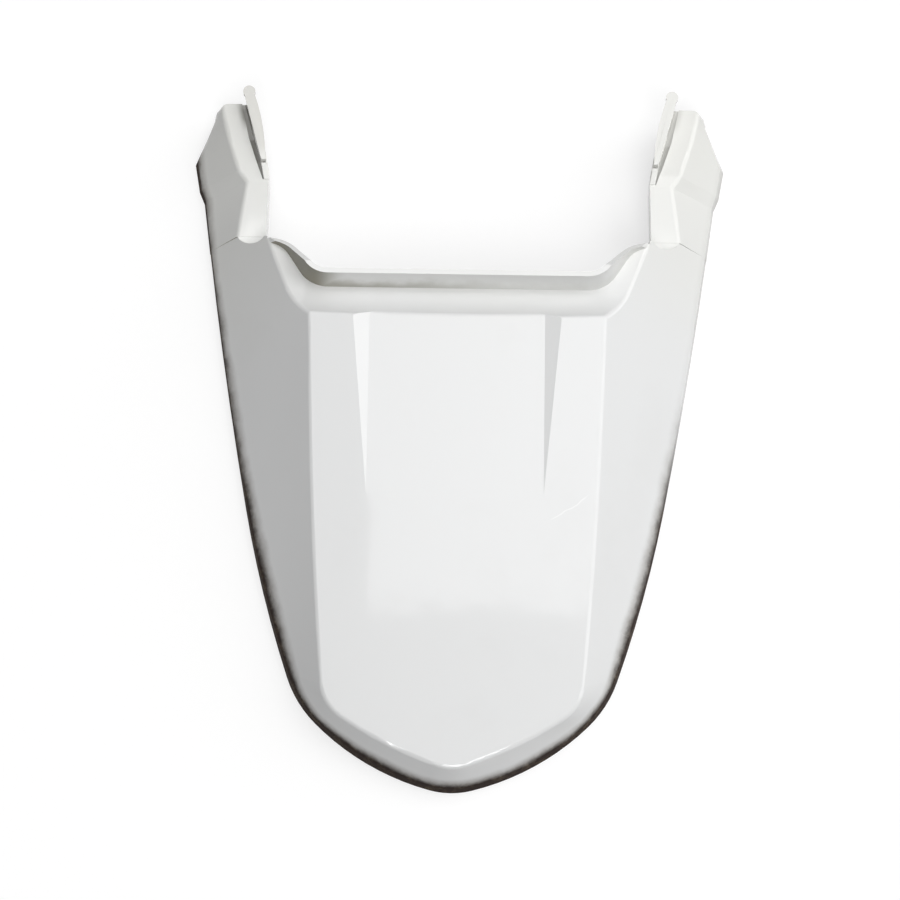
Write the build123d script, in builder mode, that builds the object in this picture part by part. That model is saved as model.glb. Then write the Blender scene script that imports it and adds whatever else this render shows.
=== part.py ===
from build123d import *
from math import atan, cos, degrees, radians, sin, tan
import os

# A tail fairing for a motorcycle, injection moulded in one piece from glossy
# ABS. +Y points to the front of the motorcycle and +Z up. The fairing stands
# on its rim, on the plane z = 0, with the middle of its length over the
# origin. Stations along it are counted from the tail tip, in millimetres.

# Lengths of the deck, of the cove behind the seat, and of the arms with their ears
deck_length = 226.0
cove_length = 55.5
arm_length = 80.0

wall = 2.5

# Skirt round the rim
skirt_height = 5.0
skirt_lean = 1.0

# Rim outline at the top of the skirt, and its width at the root of the arms
rim_tip = 1.0
rim_tip_radius = 39.3
rim_tip_turn = 15.0
rim_limb_radius = 124.2
rim_limb_turn = 30.0
rim_corner_radius = 59.0
rim_corner_turn = 26.0
rim_middle_width = 206.4
rim_middle_station = 143.5
root_width = 253.2

# Deck, a crowned panel that falls to the tail
deck_slope = 9.2
deck_tip_height = 19.8
deck_crown = 3.0
deck_front_width = 146.0
edge_round = 2.5

# Outline that the walls run up to, on a plane a little above the deck
walls_headroom = 2.0
walls_tip = 8.6
walls_tip_radius = 18.0
walls_tip_turn = 20.0
walls_limb_radius = 258.0
walls_limb_turn = 11.0
walls_corner_radius = 19.0
walls_corner_turn = 55.0
walls_front_inset = 4.7
walls_root_flare = 4.0

# Cove, the hollow that falls from the deck to the seat
cove_radius = 32.0
cove_fall = 50.0
cove_run = 8.0

# Sunk panel in the front half of the deck
panel_strip_width = 29.75
panel_depth = 2.4
panel_rear_station = 137.5
panel_flank_run = 10.0

# Step from the wings down to the arms, which leans back
step_foot_height = 23.5
step_lean = 21.5
step_scoop = 4.0

# Seat opening between the arms, at the foot of its lip
arm_root_width = 29.1
seat_setback = 19.5
seat_cheek_reach = 33.0
seat_corner_radius = 16.0
seat_corner_turn = 60.0
seat_cheek = 12.0
seat_shoulder_radius = 15.0
seat_shoulder_turn = 45.0

# Lip that stands up round the seat opening
lip_height = 12.0
lip_flange = 8.0
lip_thickness = 2.6
lip_lean = 12.0
lip_level_run = 9.0
lip_fall_angle = 39.0
lip_setback = 0.4

# Arms: each section by its share of the arm, then the places of its corners,
# outwards from the root's width or from the seat opening, and upwards
ear_overhang = 6.0
arm_shares = [0.0, 0.38, 0.47, 0.68, 0.93, 1.0]
arm_feet = [(1.2, 0.0), (5.2, 0.0), (8.0, 0.0), (10.8, 0.0), (0.8, 12.0), (0.4, 14.0)]
arm_rims = [(0.0, 5.0), (4.0, 5.0), (6.2, 5.0), (8.8, 5.0), (-0.2, 17.0), (-0.6, 18.5)]
arm_creases = [(-14.1, 23.5), (-18.3, 29.0), (-13.8, 28.6), (-8.9, 27.4), (-4.0, 25.4), (-3.2, 24.8)]
arm_inners = [(0.3, 23.5), (-0.4, 29.5), (-0.2, 29.1), (2.8, 27.9), (8.4, 25.9), (9.5, 25.2)]
arm_inner_height = 14.0
arm_foot_width = 4.0
arm_crease_round = 3.0

# Groove between each arm and its ear, by share of the arm: place of its outer
# wall outwards from the seat opening, width and depth
groove_shares = [0.40, 0.55, 0.73, 1.04]
groove_places = [2.7, 6.6, 10.9, 15.7]
groove_widths = [0.5, 2.3, 2.8, 2.5]
groove_depths = [0.6, 4.0, 6.0, 6.0]
groove_clearance = 4.0

# Ears, the locating blades on the front ends of the arms, each on a riser
riser_shares = [0.40, 0.535, 0.73, 1.0]
riser_feet = [2.2, 4.0, 7.9, 13.1]
riser_tops = [(2.0, 29.8), (3.7, 32.5), (7.7, 33.5), (12.9, 34.0)]
riser_walls = [2.4, 2.4, 2.5, 2.5]
riser_sink = 1.5
blade_inner_edge = [(1.6, 0.535), (3.6, 0.79), (8.2, 1.02)]
blade_outer_edge = [(3.7, 0.535), (9.0, 0.79), (13.4, 1.01)]
blade_thickness = 2.4
blade_tip_place = 10.6
notch_share = 0.52
notch_length = 1.8
notch_floor = 28.6

# Screw bosses under the deck, with pilot holes and gussets, and the ribs between them
boss_diameter = 9.0
pilot_diameter = 4.2
pilot_depth = 14.0
rear_boss_spacing = 64.0
rear_boss_station = 72.5
rear_boss_foot = 12.0
front_boss_spacing = 122.0
front_boss_setback = 23.5
front_boss_foot = 26.0
gusset_thickness = 1.6
gusset_reach = 9.0
gusset_drop = 5.0
rib_spacing = 56.0
rib_thickness = 1.6
rib_height = 6.0
rib_rear_station = 90.5
rib_front_setback = 13.5

# Worked out from the sizes above
root_station = deck_length + cove_length
overall_length = root_station + arm_length
arm_run = arm_length - ear_overhang
tail_y = -overall_length / 2
deck_front_y = tail_y + deck_length
root_y = tail_y + root_station
rim_half = root_width / 2
seat_half = rim_half - arm_root_width
slope = radians(deck_slope)
deck_front_height = deck_tip_height + deck_length * tan(slope)
cove_y = deck_front_y + cove_radius * sin(radians(cove_fall))
cove_z = deck_front_height + cove_radius * cos(radians(cove_fall))
lip_foot_height = cove_z - cove_radius * cos(radians(cove_run))
lip_top_height = lip_foot_height + lip_height
walls_front_width = deck_front_width - 2 * walls_front_inset
walls_root_width = deck_front_width + 2 * walls_root_flare
panel_width = deck_front_width - 2 * panel_strip_width
crown_radius = (deck_front_width**2 / 4 + deck_crown**2) / (2 * deck_crown)
clear = 100.0
deck_plane = Plane(origin=(0, tail_y, deck_tip_height), x_dir=(1, 0, 0), z_dir=(0, -sin(slope), cos(slope)))


def shield(tip, tip_radius, tip_turn, limb_radius, limb_turn, corner_radius, corner_turn, middle, root):
    """A shield outline: a round tip, two bowed limbs, two round corners and two long sides."""
    with BuildSketch() as outline:
        with BuildLine():
            nose = JernArc((0, tip), (1, 0), tip_radius, tip_turn)
            limb = JernArc(nose @ 1, nose % 1, limb_radius, limb_turn)
            corner = JernArc(limb @ 1, limb % 1, corner_radius, corner_turn)
            rear_side = TangentArc(corner @ 1, middle, tangent=corner % 1)
            front_side = TangentArc(rear_side @ 1, root, tangent=rear_side % 1)
            Polyline(front_side @ 1, (0, root[1]), (0, tip))
        make_face()
        mirror(about=Plane.YZ)
    return outline.sketch


def rim_outline(grow):
    """The rim seen from above, grown outwards by the given amount."""
    return shield(
        tail_y + rim_tip - grow, rim_tip_radius + grow, rim_tip_turn, rim_limb_radius + grow, rim_limb_turn,
        rim_corner_radius + grow, rim_corner_turn,
        (rim_middle_width / 2 + grow, tail_y + rim_middle_station), (rim_half + grow, root_y),
    )


def walls_outline():
    """The outline on the deck's plane that the walls run up to."""
    return shield(
        walls_tip, walls_tip_radius, walls_tip_turn, walls_limb_radius, walls_limb_turn,
        walls_corner_radius, walls_corner_turn,
        (walls_front_width / 2, deck_length / cos(slope)), (walls_root_width / 2, root_station / cos(slope)),
    )


def hull_form(inset):
    """The ruled walls from the rim up to above the deck as a solid form, drawn in by the inset."""
    with BuildPart() as form:
        with BuildSketch(Plane.XY.offset(skirt_height - 0.4 * inset)):
            add(rim_outline(0))
            if inset:
                offset(amount=-inset)
        with BuildSketch(deck_plane.offset(walls_headroom - inset)):
            add(walls_outline())
            if inset:
                offset(amount=-0.5 * inset)
        loft(ruled=True)
    return form.part


def step_form(inset):
    """What is cut away above the arms: its rear leans back and is scooped out beside the seat."""
    lean = radians(step_lean)
    foot_y = root_y - inset / cos(lean) + inset * tan(lean)
    crease_x = rim_half + arm_creases[0][0]
    with BuildPart() as form:
        with BuildSketch(Plane.XY.offset(step_foot_height - inset)):
            with BuildLine():
                beside_seat = Line((0, foot_y), (seat_half, foot_y))
                scoop_middle = ((seat_half + crease_x) / 2, foot_y - step_scoop)
                scoop = ThreePointArc(beside_seat @ 1, scoop_middle, (crease_x, foot_y))
                Polyline(
                    scoop @ 1, (root_width, foot_y), (root_width, foot_y + clear), (0, foot_y + clear),
                    beside_seat @ 0,
                )
            make_face()
            mirror(about=Plane.YZ)
        extrude(amount=clear, dir=(0, -sin(lean), cos(lean)))
    return form.part


def crown_profile(width, flare, height):
    """What is cut away above a crowned floor: its sides flare out up to the given height."""
    half = width / 2
    sag = crown_radius - (crown_radius**2 - half**2) ** 0.5
    with BuildSketch() as profile:
        with BuildLine():
            floor = ThreePointArc((-half, -sag), (0, 0), (half, -sag))
            Polyline(floor @ 1, (half + flare, height), (-half - flare, height), floor @ 0)
        make_face()
    return profile.sketch


def cowl_form(inset):
    """Deck, sunk panel, cove and wings as a solid form, drawn in by the inset all round."""
    with BuildPart() as form:
        add(hull_form(inset))

        # the crown, cut along the slope of the deck
        crown_start = deck_plane.offset(-inset).from_local_coords((0, root_station + clear / 2, 0))
        crown_plane = Plane(origin=crown_start, x_dir=(1, 0, 0), z_dir=-deck_plane.y_dir)
        with BuildSketch(crown_plane):
            add(crown_profile(root_width, 0, clear))
        extrude(amount=root_station + clear, mode=Mode.SUBTRACT)

        # the sunk panel, whose floor falls a little less than the deck and so runs out
        turn = atan(panel_depth / (deck_length - panel_rear_station))
        flank = atan(panel_depth / panel_flank_run)
        reach = clear / 3
        panel_start = deck_plane.offset(-inset - panel_depth - reach * tan(turn)).from_local_coords(
            (0, deck_length / cos(slope) + reach, 0)
        )
        along_panel = (0, -cos(slope - turn), -sin(slope - turn))
        with BuildSketch(Plane(origin=panel_start, x_dir=(1, 0, 0), z_dir=along_panel)):
            add(crown_profile(panel_width + 2 * inset * tan(flank / 2), clear / tan(flank), clear))
        extrude(amount=deck_length - panel_rear_station + 2 * reach, mode=Mode.SUBTRACT)

        # the cove, an arc that falls from the deck and levels out towards the seat
        radius = cove_radius + inset
        fall, run = radians(cove_fall), radians(cove_run)
        with BuildSketch(Plane.YZ):
            with BuildLine():
                top_of_fall = (cove_y - radius * sin(fall), cove_z - radius * cos(fall))
                foot_of_fall = (cove_y - radius * sin(run), cove_z - radius * cos(run))
                above = PolarLine(top_of_fall, clear / 2, 180 - cove_fall)
                RadiusArc(top_of_fall, foot_of_fall, -radius)
                ahead = PolarLine(foot_of_fall, clear, -cove_run)
                Polyline(ahead @ 1, ((ahead @ 1).X, 2 * clear), ((above @ 1).X, 2 * clear), above @ 1)
            make_face()
        extrude(amount=root_width, both=True, mode=Mode.SUBTRACT)

        # the step down to the arms
        add(step_form(inset), mode=Mode.SUBTRACT)
    return form.part


def arm_form(inset):
    """The right arm as a ruled loft through its sections, drawn in by the inset."""
    with BuildPart() as form:
        for i, share in enumerate(arm_shares):
            foot_x, foot_z = arm_feet[i]
            rim_x, rim_z = arm_rims[i]
            crease_x, crease_z = arm_creases[i]
            inner_x, inner_z = arm_inners[i]
            inner_foot_z = inner_z - arm_inner_height
            if inset:
                foot_z = inner_foot_z = -inset
            y = root_y + arm_run * share - (inset if share in (0, 1) else 0)
            with BuildSketch(Plane(origin=(0, y, 0), x_dir=(1, 0, 0), z_dir=(0, -1, 0))):
                with BuildLine():
                    Polyline(
                        (rim_half + foot_x - inset, foot_z),
                        (rim_half + rim_x - inset, rim_z - 0.4 * inset),
                        (rim_half + crease_x - 0.45 * inset, crease_z - inset),
                        (seat_half + inner_x + inset, inner_z - inset),
                        (seat_half + inner_x + inset, inner_foot_z),
                        (rim_half + foot_x - inset - arm_foot_width, foot_z),
                        close=True,
                    )
                make_face()
        loft(ruled=True)
    return form.part


def groove_form(grow):
    """The groove beside the ear as a ruled loft, grown by the given amount."""
    with BuildPart() as form:
        for i, share in enumerate(groove_shares):
            outer_x = seat_half + groove_places[i] + grow
            inner_x = seat_half + groove_places[i] - groove_widths[i] - grow
            top_z = riser_tops[i][1]
            floor_z = top_z - groove_clearance - groove_depths[i] - grow
            y = root_y + arm_run * share
            with BuildSketch(Plane(origin=(0, y, 0), x_dir=(1, 0, 0), z_dir=(0, -1, 0))):
                with BuildLine():
                    Polyline(
                        (outer_x, top_z + clear), (inner_x, top_z + clear),
                        (inner_x, floor_z), (outer_x, floor_z),
                        close=True,
                    )
                make_face()
        loft(ruled=True)
    return form.part


def arm_core():
    """The mould's core under the right arm, which leaves the walls of the groove standing."""
    with BuildPart() as form:
        add(arm_form(wall))
        add(groove_form(wall), mode=Mode.SUBTRACT)
    return form.part


def seat_outline(grow):
    """The seat opening seen from above, grown outwards by the given amount."""
    rear_y = deck_front_y + seat_setback - grow
    side_x = seat_half + grow
    ledge_angle = seat_corner_turn - seat_shoulder_turn
    with BuildSketch() as outline:
        with BuildLine():
            rear = Line((0, rear_y), (seat_half - seat_cheek_reach, rear_y))
            corner = JernArc(rear @ 1, rear % 1, seat_corner_radius + grow, seat_corner_turn)
            cheek = PolarLine(corner @ 1, seat_cheek, seat_corner_turn)
            shoulder = JernArc(cheek @ 1, cheek % 1, seat_shoulder_radius - grow, -seat_shoulder_turn)
            ledge_length = (side_x - (shoulder @ 1).X) / cos(radians(ledge_angle))
            ledge = PolarLine(shoulder @ 1, ledge_length, ledge_angle)
            Polyline(ledge @ 1, (side_x, root_y), (0, root_y), rear @ 0)
        make_face()
        mirror(about=Plane.YZ)
    return outline.sketch


def seat_form(thickness):
    """The space that the lip leans over, drawn in by the lip's thickness."""
    lean = tan(radians(lip_lean))
    with BuildPart() as form:
        for height in (lip_foot_height - lip_flange, lip_top_height + lip_thickness):
            with BuildSketch(Plane.XY.offset(height)):
                add(seat_outline((lip_foot_height - height) * lean - thickness))
        loft(ruled=True)
    return form.part


# The places and the heights of the bosses
bosses = [
    (rear_boss_spacing / 2, tail_y + rear_boss_station, rear_boss_foot),
    (-rear_boss_spacing / 2, tail_y + rear_boss_station, rear_boss_foot),
    (front_boss_spacing / 2, deck_front_y - front_boss_setback, front_boss_foot),
    (-front_boss_spacing / 2, deck_front_y - front_boss_setback, front_boss_foot),
]

# The outside of the tail body, solid: cowl form, skirt and rounded edges
with BuildPart() as body:
    add(cowl_form(0))
    with BuildSketch(Plane.XY):
        add(rim_outline(skirt_lean))
    with BuildSketch(Plane.XY.offset(skirt_height)):
        add(rim_outline(0))
    loft(ruled=True)
    brow_and_ridges = body.edges().filter_by(GeomType.BSPLINE).filter_by(
        lambda edge: deck_front_y + edge_round / 2 < edge.center().Y < deck_front_y + 0.7 * cove_length
        and edge.center().Z > deck_tip_height
    )
    deck = body.faces().filter_by(GeomType.CYLINDER).sort_by(SortBy.AREA)[-1]
    beside_panel = panel_width / 2 + panel_flank_run
    deck_sides = deck.edges().filter_by(
        lambda edge: edge.center().Y < deck_front_y - edge_round / 2
        and (abs(edge.center().X) > beside_panel or edge.center().Y < tail_y + panel_rear_station / 2)
    )
    fillet(brow_and_ridges + deck_sides, edge_round)

# The core of the mould, which leaves the walls, bosses and ribs standing inside
with BuildPart() as core:
    add(cowl_form(wall))
    with BuildSketch(Plane.XY.offset(skirt_height - 0.4 * wall)):
        add(rim_outline(0))
        offset(amount=-wall)
    extrude(amount=-2 * skirt_height)
    add(arm_core())
    mirror(arm_core(), about=Plane.YZ)
    for boss_x, boss_y, boss_foot in bosses:
        with BuildSketch(Plane.XY.offset(boss_foot)):
            with Locations((boss_x, boss_y)):
                Circle(boss_diameter / 2)
        extrude(amount=clear, mode=Mode.SUBTRACT)
        with BuildSketch(Plane.XY.offset(boss_foot + gusset_drop)):
            with Locations((boss_x, boss_y)):
                Rectangle(boss_diameter + 2 * gusset_reach, gusset_thickness)
                Rectangle(gusset_thickness, boss_diameter + 2 * gusset_reach)
        extrude(amount=clear, mode=Mode.SUBTRACT)
    rib_rear = deck_plane.offset(-wall - rib_height).from_local_coords((0, rib_rear_station, 0))
    rib_fall = panel_depth / (deck_length - panel_rear_station)
    rib_length = (deck_length - rib_front_setback - rib_rear_station) / cos(slope)
    for side in (-1, 1):
        with BuildSketch(Plane.YZ.offset(side * rib_spacing / 2)):
            with BuildLine():
                run = PolarLine((rib_rear.Y, rib_rear.Z), rib_length, deck_slope - degrees(atan(rib_fall)))
                Polyline(run @ 1, ((run @ 1).X, clear), ((run @ 0).X, clear), run @ 0)
            make_face()
        extrude(amount=rib_thickness / 2, both=True, mode=Mode.SUBTRACT)

# The lip: a leaning band round the seat opening that falls to the wings at its ends
with BuildPart() as lip:
    add(seat_form(0))
    add(seat_form(lip_thickness), mode=Mode.SUBTRACT)
    with BuildSketch(Plane.YZ):
        with BuildLine():
            fall_start = (deck_front_y + seat_setback + lip_level_run, lip_top_height)
            drop = lip_height + lip_flange / 2
            level = Line((deck_front_y - clear / 2, lip_top_height), fall_start)
            fall = PolarLine(fall_start, drop / sin(radians(lip_fall_angle)), -lip_fall_angle)
            Polyline(
                fall @ 1,
                (root_y + clear, (fall @ 1).Y),
                (root_y + clear, lip_top_height + clear),
                ((level @ 0).X, lip_top_height + clear),
                level @ 0,
            )
        make_face()
    extrude(amount=root_width, both=True, mode=Mode.SUBTRACT)
    add(step_form(lip_setback), mode=Mode.SUBTRACT)
    add(hull_form(lip_setback), mode=Mode.INTERSECT)

# The ears: on each side the blade first, then the riser that carries it, then the notch
with BuildPart() as ears:
    tip_y = tail_y + overall_length
    inner_points = [(seat_half + x, root_y + arm_run * share) for x, share in blade_inner_edge]
    outer_points = [(seat_half + x, root_y + arm_run * share) for x, share in reversed(blade_outer_edge)]
    with BuildSketch(Plane.XY):
        with BuildLine():
            inner = ThreePointArc(*inner_points)
            tip = ThreePointArc(inner @ 1, (seat_half + blade_tip_place, tip_y), outer_points[0])
            outer = ThreePointArc(*outer_points)
            Line(outer @ 1, inner @ 0)
        make_face()
    extrude(amount=clear)
    blade_low, blade_high = riser_tops[1][1], riser_tops[-1][1]
    with BuildSketch(Plane.YZ):
        with BuildLine():
            rise = degrees(atan((blade_high - blade_low) / (arm_run * (1 - riser_shares[1]))))
            top = PolarLine((root_y + arm_run * riser_shares[1], blade_low), clear, rise)
            Polyline(top @ 1, top @ 1 - (0, blade_thickness), top @ 0 - (0, blade_thickness), top @ 0)
        make_face()
    extrude(amount=root_width, mode=Mode.INTERSECT)
    for i, share in enumerate(riser_shares):
        foot_x, foot_z = riser_feet[i], arm_inners[-1][1]
        top_x, top_z = riser_tops[i]
        y = root_y + arm_run * share
        with BuildSketch(Plane(origin=(seat_half, y, 0), x_dir=(1, 0, 0), z_dir=(0, -1, 0))):
            with BuildLine():
                Polyline(
                    (foot_x, foot_z - riser_sink),
                    (top_x, top_z),
                    (top_x - riser_walls[i], top_z),
                    (foot_x - riser_walls[i], foot_z - riser_sink),
                    close=True,
                )
            make_face()
    loft(ruled=True)
    with BuildSketch(Plane.XY.offset(notch_floor)):
        with Locations((seat_half, root_y + arm_run * notch_share)):
            Rectangle(arm_root_width, notch_length)
    extrude(amount=clear, mode=Mode.SUBTRACT)
    mirror(about=Plane.YZ)

# The arms, each with its soft crease and its groove
with BuildPart() as arms:
    add(arm_form(0))
    crease = arms.edges().filter_by(GeomType.BSPLINE).filter_by(
        lambda edge: edge.center().Z > step_foot_height and edge.center().X > seat_half + 0.4 * arm_root_width
    )
    end_y = root_y + arm_run
    end_corner = arms.edges().filter_by(
        lambda edge: edge.center().Y > end_y - wall / 2 and edge.center().X > rim_half + arm_creases[-1][0]
        and edge.center().Z > arm_feet[-1][1]
    )
    fillet(crease + end_corner, arm_crease_round)
    add(groove_form(0), mode=Mode.SUBTRACT)
    mirror(about=Plane.YZ)

with BuildPart() as tail_fairing:
    add(body.part)
    add(arms.part)
    add(core.part, mode=Mode.SUBTRACT)
    with BuildSketch(Plane.XY.offset(-skirt_height)):
        add(seat_outline(-lip_thickness / 2))
    extrude(amount=lip_top_height + clear, mode=Mode.SUBTRACT)
    add(lip.part)
    add(ears.part)
    for boss_x, boss_y, boss_foot in bosses:
        with BuildSketch(Plane.XY.offset(boss_foot)):
            with Locations((boss_x, boss_y)):
                Circle(pilot_diameter / 2)
        extrude(amount=pilot_depth, mode=Mode.SUBTRACT)
tail_fairing.part.label = "tail_fairing"

os.makedirs("parts", exist_ok=True)
export_step(tail_fairing.part, "parts/tail_fairing.step")
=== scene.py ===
import math

import bmesh
import bpy
from mathutils import Matrix, Vector

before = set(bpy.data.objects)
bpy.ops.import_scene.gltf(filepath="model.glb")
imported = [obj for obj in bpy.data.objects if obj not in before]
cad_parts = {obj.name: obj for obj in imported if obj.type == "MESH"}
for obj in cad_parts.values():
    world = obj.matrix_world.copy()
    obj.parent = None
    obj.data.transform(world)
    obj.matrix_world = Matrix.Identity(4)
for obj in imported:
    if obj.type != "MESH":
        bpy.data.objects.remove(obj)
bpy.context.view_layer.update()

# The camera looks down on the fairing from behind, 70 degrees above the floor, as in the photograph.
# The whole outline fills most of the square picture, tail tip down and arms up.
elevation = math.radians(70.0)
lean = math.radians(0.85)
distance = 1.5
sensor = 36.0
picture_width = 900
pixel_size = 0.000495
target = Vector((0.0, -0.0096, 0.025))
target_pixels = Vector((5.5, 7.0))

look = Vector((0.0, math.cos(elevation), -math.sin(elevation)))
sideways = Vector((1.0, 0.0, 0.0))
upward = sideways.cross(look)
right = sideways * math.cos(lean) + upward * math.sin(lean)
up = upward * math.cos(lean) - sideways * math.sin(lean)
camera_turn = Matrix((right, up, -look)).transposed().to_4x4()
camera_data = bpy.data.cameras.new("camera")
camera_data.sensor_width = sensor
camera_data.lens = sensor * distance / pixel_size / picture_width
camera_data.shift_x = -target_pixels.x / picture_width
camera_data.shift_y = -target_pixels.y / picture_width
camera_data.clip_start = 0.01
camera = bpy.data.objects.new("camera", camera_data)
camera.matrix_world = Matrix.Translation(target - look * distance) @ camera_turn
bpy.context.scene.collection.objects.link(camera)
bpy.context.scene.camera = camera


# The floor under the fairing is a sheet of studio paper, laid flat, which runs past every edge of the picture.
# It shows white and keeps the fairing's shadow. It stands in for the studio and isn't part of the object.
class Wire:
    """A shader socket that plain Python operators build Math nodes on."""

    def __init__(self, nodes, socket):
        self.nodes = nodes
        self.socket = socket

    def math(self, operation, *others):
        return self.nodes.add("ShaderNodeMath", {"operation": operation}, (self, *others))

    def __add__(self, other):
        return self.math("ADD", other)

    __radd__ = __add__

    def __sub__(self, other):
        return self.math("SUBTRACT", other)

    def __rsub__(self, other):
        return self.nodes.add("ShaderNodeMath", {"operation": "SUBTRACT"}, (other, self))

    def __mul__(self, other):
        return self.math("MULTIPLY", other)

    __rmul__ = __mul__


class Nodes:
    """The node tree of a material or world, to which each node is added by one method."""

    def __init__(self, owner):
        owner.use_nodes = True
        self.tree = owner.node_tree
        self.tree.nodes.clear()

    def add(self, kind, settings=None, values=(), output=0):
        node = self.tree.nodes.new(kind)
        for key, value in (settings or {}).items():
            setattr(node, key, value)
        pairs = values.items() if isinstance(values, dict) else enumerate(values)
        for key, value in pairs:
            if isinstance(value, Wire):
                self.tree.links.new(value.socket, node.inputs[key])
            else:
                node.inputs[key].default_value = value
        return Wire(self, node.outputs[output]) if node.outputs else None


def shown(nodes):
    """1 for a ray that shows a surface to the camera, straight on, mirrored or through glass, else 0."""
    straight, mirrored, through = [
        nodes.add("ShaderNodeLightPath", output=kind)
        for kind in ("Is Camera Ray", "Is Glossy Ray", "Is Transmission Ray")]
    return straight.math("MAXIMUM", mirrored).math("MAXIMUM", through)


paper_grey = (0.40, 0.40, 0.40, 1.0)
paper_lift = 0.64
paper_material = bpy.data.materials.new("studio_paper")
paper = Nodes(paper_material)
matt = paper.add("ShaderNodeBsdfDiffuse", None, {"Color": paper_grey})
glow = paper.add("ShaderNodeEmission", None, {"Strength": paper_lift * shown(paper)})
paper_surface = paper.add("ShaderNodeAddShader", None, (matt, glow))
paper.add("ShaderNodeOutputMaterial", None, {"Surface": paper_surface})

floor_reach = 6.0
sheet = bmesh.new()
bmesh.ops.create_grid(sheet, x_segments=1, y_segments=1, size=floor_reach)
floor_mesh = bpy.data.meshes.new("floor")
sheet.to_mesh(floor_mesh)
sheet.free()
floor = bpy.data.objects.new("floor", floor_mesh)
floor.data.materials.append(paper_material)
bpy.context.scene.collection.objects.link(floor)

# The shell is injection moulded in one piece from white ABS, glossy outside and satin on its hidden side.
# Its skin has a faint orange peel, hairlines and rub marks from handling, painted shade on the lip, in the
# arms' grooves and on the ears, and a band of painted shade that reaches a few millimetres up the skirt.
gloss_material = bpy.data.materials.new("gloss_white_abs")
gloss = Nodes(gloss_material)
place = gloss.add("ShaderNodeTexCoord", output="Object")
facing = gloss.add("ShaderNodeTexCoord", output="Normal")
noise_middle = 0.5


def axes(vector):
    """The three parts of a vector, as wires."""
    return [gloss.add("ShaderNodeSeparateXYZ", None, (vector,), part) for part in "XYZ"]


def noise(scale, detail=3.0, rough=0.5, vector=place):
    return gloss.add("ShaderNodeTexNoise", None, {
        "Vector": vector, "Scale": scale, "Detail": detail, "Roughness": rough})


def wander(scale, reach, detail=3.0, rough=0.5):
    """A number that drifts over the surface, by at most half the reach up or down."""
    return (noise(scale, detail, rough) - noise_middle) * reach


def ramp(value, none_at, full_at):
    """0 at the first value and 1 at the second, with a soft start and end."""
    return gloss.add("ShaderNodeMapRange", {"interpolation_type": "SMOOTHSTEP"}, {
        "Value": value, "From Min": none_at, "From Max": full_at})


def mix(factor, first, second):
    """One colour turning into another: inputs 6 and 7 of a Mix node set to colours, and its output 2."""
    return gloss.add("ShaderNodeMix", {"data_type": "RGBA"}, {0: factor, 6: first, 7: second}, 2)


across, along, height = axes(place)
facing_along, facing_up = axes(facing)[1:]


def trace(start, end, half_width, waver=0.006, taper=0.2):
    """A mark that follows the line between two places seen from above, and wavers a little."""
    reach = Vector(end) - Vector(start)
    length = reach.length
    ahead, aside = reach / length, Vector((-reach.y, reach.x)) / length
    run = (across - start[0]) * ahead.x + (along - start[1]) * ahead.y
    off = (across - start[0]) * aside.x + (along - start[1]) * aside.y + wander(60.0, waver)
    ends = ramp(run, 0.0, taper * length) * ramp(run, length, (1.0 - taper) * length)
    return ramp(off.math("ABSOLUTE"), half_width, 0.0) * ends


# The white of the plastic, which has yellowed a little towards the arms and holds a faint cloud of dust.
moulded_white = (0.795, 0.80, 0.80, 1.0)
aged_white = (0.80, 0.80, 0.76, 1.0)
dust_and_shade_grey = (0.34, 0.32, 0.28, 1.0)
ageing_stations, ageing_most = (0.02, 0.16), 0.8
cloud_spots, cloud_most = (0.52, 0.75), 0.035
ageing = ramp(along + wander(9.0, 0.1), *ageing_stations) * ageing_most
cloud = ramp(noise(16.0, detail=4.0, rough=0.6), *cloud_spots) * cloud_most
clean = mix(cloud, mix(ageing, moulded_white, aged_white), dust_and_shade_grey)

# The smudge on the right wing, and a thin lighter line on the right of the deck.
line_white = (0.95, 0.95, 0.95, 1.0)
smudge_middle, smudge_radii, smudge_most = (0.0812, 0.003, 0.026), (0.006, 0.0015), 0.12
pale_line_start, pale_line_end = (0.0455, -0.0549), (0.0658, -0.04)
pale_line_half_width, pale_line_most, deck_heights = 0.0005, 0.55, (0.025, 0.03)
from_smudge = gloss.add("ShaderNodeVectorMath", {"operation": "DISTANCE"}, (place, smudge_middle), "Value")
smudge = ramp(from_smudge + wander(120.0, 0.008), *smudge_radii) * smudge_most
# The line is painted lighter than the plastic around it.
pale_line = trace(pale_line_start, pale_line_end, pale_line_half_width) * ramp(height, *deck_heights) * pale_line_most
marked = mix(pale_line, mix(smudge, clean, dust_and_shade_grey), line_white)

# Painted shade on the rear face of the lip, at its foot and over its left end, and painted shade on the ears,
# most on the left.
lip_shade_olive = (0.17, 0.155, 0.095, 1.0)
left_places, steep_faces, tail_faces = (0.04, -0.06), (0.45, 0.30), (0.05, -0.15)
lip_rear, lip_front = (0.045, 0.055), (0.104, 0.100)
cheek_places, cheek_most = (-0.054, -0.072), 0.85
foot_heights, foot_least, foot_left = (0.0545, 0.0455), 0.15, 0.5
ear_heights, ear_stations, ear_least, ear_left = (0.0305, 0.0325), (0.138, 0.150), 0.06, 0.3
left_side = ramp(across, *left_places)
steep = ramp(facing_up, *steep_faces) * ramp(facing_along, *tail_faces)
lip_wall = steep * ramp(along, *lip_rear) * ramp(along, *lip_front)
left_cheek = ramp(across, *cheek_places) * cheek_most
lip_foot = ramp(height + wander(90.0, 0.008), *foot_heights) * (foot_least + left_side * foot_left)
# The lip's rear face is darkened by painted shade at its foot and over its left end.
lip_shade = lip_wall * lip_foot.math("MAXIMUM", left_cheek)
# The tops of the ears are darkened by painted shade, more on the left.
ear_shade_mask = ramp(height, *ear_heights) * ramp(along, *ear_stations)
ear_shaded = mix(ear_shade_mask * (ear_least + left_side * ear_left), marked, dust_and_shade_grey)
lip_shaded = mix(lip_shade, ear_shaded, lip_shade_olive)
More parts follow.
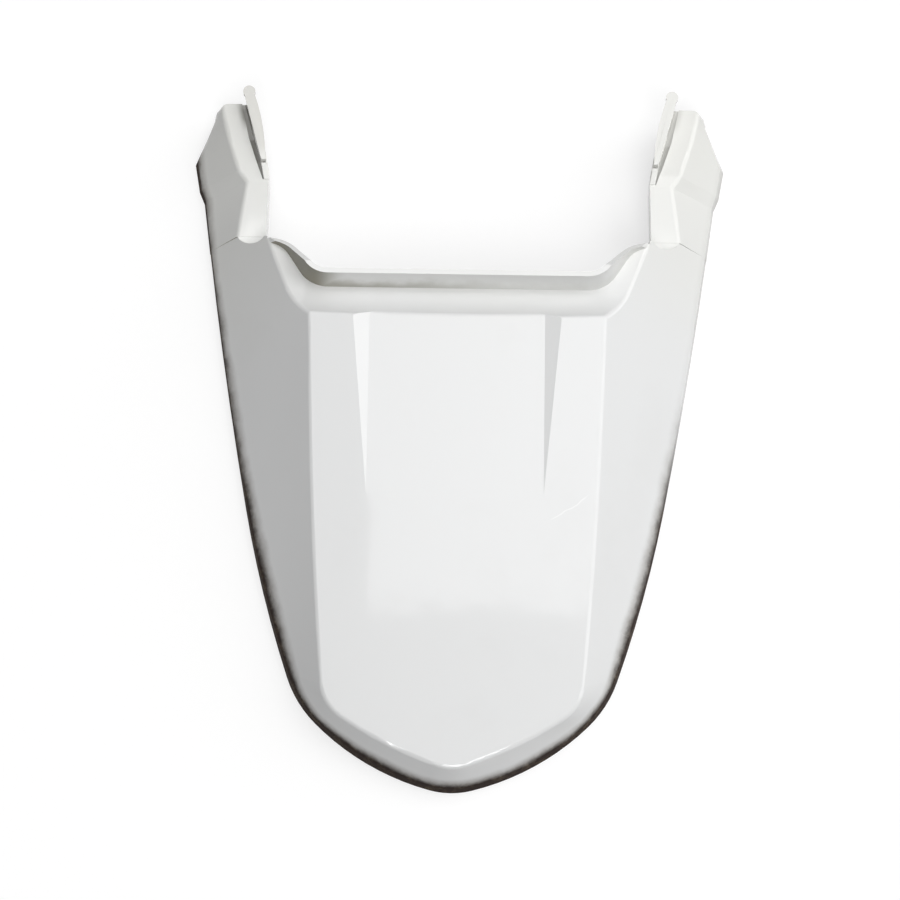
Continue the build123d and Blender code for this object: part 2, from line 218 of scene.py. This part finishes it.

# Painted shade in the grooves along the seat side of the arms, most of it on the left.
groove_shade_brown = (0.09, 0.08, 0.055, 1.0)
left_root, left_end = (-0.0990, 0.122), (-0.1135, 0.1815)
right_root, right_end = (0.0990, 0.122), (0.1135, 0.1815)
groove_half_width, groove_waver, left_groove_shade, right_groove_shade = 0.0045, 0.001, 0.9, 0.3
groove_heights, groove_walls, groove_floor = (0.0310, 0.0290), (0.7, 0.4), (0.0270, 0.0260)
left_groove = trace(left_root, left_end, groove_half_width, groove_waver)
right_groove = trace(right_root, right_end, groove_half_width, groove_waver)
wall_or_floor = ramp(facing_up, *groove_walls).math("MAXIMUM", ramp(height, *groove_floor))
in_groove = ramp(height, *groove_heights) * wall_or_floor
# The grooves are darkened by painted shade, more on the left.
groove_shade = in_groove * (left_groove * left_groove_shade + right_groove * right_groove_shade)
groove_shaded = mix(groove_shade, lip_shaded, groove_shade_brown)

# A fainter film of painted shade above the dark band on the skirt. Both reach highest at the tail and on
# the left, and are nearly gone on the right towards the arms.
shade_film_brown = (0.17, 0.145, 0.12, 1.0)
tail_stations, left_shade_rise, tail_shade_rise = (0.10, -0.12), 0.0012, 0.0034
lit_stations, lit_places, lit_most = (-0.05, 0.03), (0.02, 0.06), 0.85
shade_film_heights, shade_film_least, shade_film_patches = (0.0085, 0.0030), 0.35, 0.6
tail_side = ramp(along, *tail_stations)
skirt_shade_level = height + wander(55.0, 0.004, detail=4.0, rough=0.6) - left_side * left_shade_rise - tail_side * tail_shade_rise
skirt_shade_share = 1.0 - ramp(along, *lit_stations) * ramp(across, *lit_places) * lit_most
patches = shade_film_least + noise(140.0, detail=4.0, rough=0.7) * shade_film_patches
# The skirt is darkened above the band by painted shade, most on the left and at the tail.
shade_film = ramp(skirt_shade_level, *shade_film_heights) * patches * skirt_shade_share
colour = mix(shade_film, groove_shaded, shade_film_brown)

# The skin of the mould: gloss with rub marks and fine scuffs, orange peel, and long waves from cooling.
rub_spots, scuff_lines, scuff_patches, under_faces = (0.5, 0.8), (0.66, 0.78), (0.45, 0.65), (0.0, -0.25)
mould_gloss, rub_haze, scuff_haze, shade_film_haze, hidden_haze = 0.055, 0.06, 0.16, 0.3, 0.28
peel_height, swell_height, scuff_depth = 0.10, 0.9, 0.05
rub = ramp(noise(22.0, detail=5.0, rough=0.65), *rub_spots)
grain = gloss.add("ShaderNodeMapping", None, {
    "Vector": place, "Rotation": (0.0, 0.0, 0.5), "Scale": (14.0, 900.0, 60.0)})
scuff = ramp(noise(1.0, detail=2.0, vector=grain), *scuff_lines) * ramp(noise(24.0), *scuff_patches)
hidden = ramp(facing_up, *under_faces)
roughness = mould_gloss + rub * rub_haze + scuff * scuff_haze + shade_film * shade_film_haze + hidden * hidden_haze
peel = noise(330.0, detail=2.0)
swell = noise(38.0, detail=2.0)
relief = peel * peel_height + swell * swell_height - scuff * scuff_depth
skin_bump = gloss.add("ShaderNodeBump", None, {"Height": relief, "Strength": 0.3, "Distance": 0.00035})
skin = gloss.add("ShaderNodeBsdfPrincipled", None, {
    "Base Color": colour,
    "Roughness": roughness,
    "Normal": skin_bump,
    "IOR": 1.53,
})

# A dark band of painted shade, dull and bumpy, that covers the foot of the skirt.
skirt_shade_dark = (0.020, 0.011, 0.008, 1.0)
skirt_shade_brown = (0.10, 0.075, 0.05, 1.0)
skirt_shade_spots, mottle_reach, skirt_shade_heights, skirt_shade_most = (0.45, 0.75), 0.0022, (0.0052, 0.0014), 0.97
skirt_mottle = noise(170.0, detail=5.0, rough=0.7)
skirt_bump = gloss.add("ShaderNodeBump", None, {"Height": skirt_mottle, "Strength": 0.5, "Distance": 0.0004})
skirt_shade_surface = gloss.add("ShaderNodeBsdfPrincipled", None, {
    "Base Color": mix(ramp(skirt_mottle, *skirt_shade_spots), skirt_shade_dark, skirt_shade_brown),
    "Roughness": 0.85,
    "Normal": skirt_bump,
    "Specular IOR Level": 0.12,
})
# The foot of the skirt is covered by a dark band of painted shade.
skirt_shade_top = skirt_shade_level + (skirt_mottle - noise_middle) * mottle_reach
skirt_shade_cover = ramp(skirt_shade_top, *skirt_shade_heights) * skirt_shade_most * skirt_shade_share
shell_surface = gloss.add("ShaderNodeMixShader", None, (skirt_shade_cover, skin, skirt_shade_surface))
gloss.add("ShaderNodeOutputMaterial", None, {"Surface": shell_surface})
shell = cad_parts["tail_fairing"]
shell.data.materials.clear()
shell.data.materials.append(gloss_material)

# The walls of the studio are white and evenly lit. They fill the background of the picture and show in what
# mirrors them, and give the fairing only a dim fill.
studio_white = (1.0, 1.0, 1.0, 1.0)
studio_fill = 0.06
world = bpy.data.worlds.new("studio")
walls = Nodes(world)
walls_strength = shown(walls).math("MAXIMUM", studio_fill)
walls_glow = walls.add("ShaderNodeBackground", None, {"Color": studio_white, "Strength": walls_strength})
walls.add("ShaderNodeOutputWorld", None, {"Surface": walls_glow})
bpy.context.scene.world = world


# The lamps of the studio: a soft key from the right, a broad fill from the front, a dim panel overhead, and for
# the highlights on the rear rim of the deck a small lamp over the tail and a narrow strip to the left of it.
def sun(name, toward, angle, level):
    """A far lamp in the given direction, which gives a white surface square to it the given level."""
    data = bpy.data.lights.new(name, "SUN")
    data.angle = math.radians(angle)
    data.energy = level * math.pi
    lamp = bpy.data.objects.new(name, data)
    lamp.rotation_euler = Vector(toward).to_track_quat("Z", "Y").to_euler()
    bpy.context.scene.collection.objects.link(lamp)


def softbox(name, middle, wide, deep, radiance):
    """A lamp with an evenly bright face, which spans the two vectors about its middle."""
    data = bpy.data.lights.new(name, "AREA")
    data.shape = "RECTANGLE"
    data.size, data.size_y = wide.length, deep.length
    data.energy = radiance * math.pi * wide.length * deep.length
    sides = (wide.normalized(), deep.normalized(), wide.cross(deep).normalized())
    lamp = bpy.data.objects.new(name, data)
    lamp.matrix_world = Matrix.Translation(middle) @ Matrix(sides).transposed().to_4x4()
    bpy.context.scene.collection.objects.link(lamp)


sun("key", toward=(0.83, 0.19, 0.52), angle=56.0, level=0.385)
sun("front fill", toward=(0.03, 0.42, 0.91), angle=60.0, level=0.15)
sun("tail lamp", toward=(0.10, -0.60, 0.79), angle=25.0, level=0.32)
panel_middle = Vector((0.6625, 0.6265, 2.0))
panel_wide, panel_deep = Vector((1.875, 0.0, 0.0)), Vector((0.0, 1.547, 0.0))
softbox("overhead", panel_middle, panel_wide, panel_deep, radiance=1.8)
strip_middle = Vector((-0.6700, -1.3300, 1.523))
strip_wide, strip_deep = Vector((-0.0304, 0.0175, 0.00054)), Vector((-0.555, -0.935, -0.970))
softbox("left strip", strip_middle, strip_wide, strip_deep, radiance=13.0)

bpy.context.scene.view_settings.view_transform = "Standard"
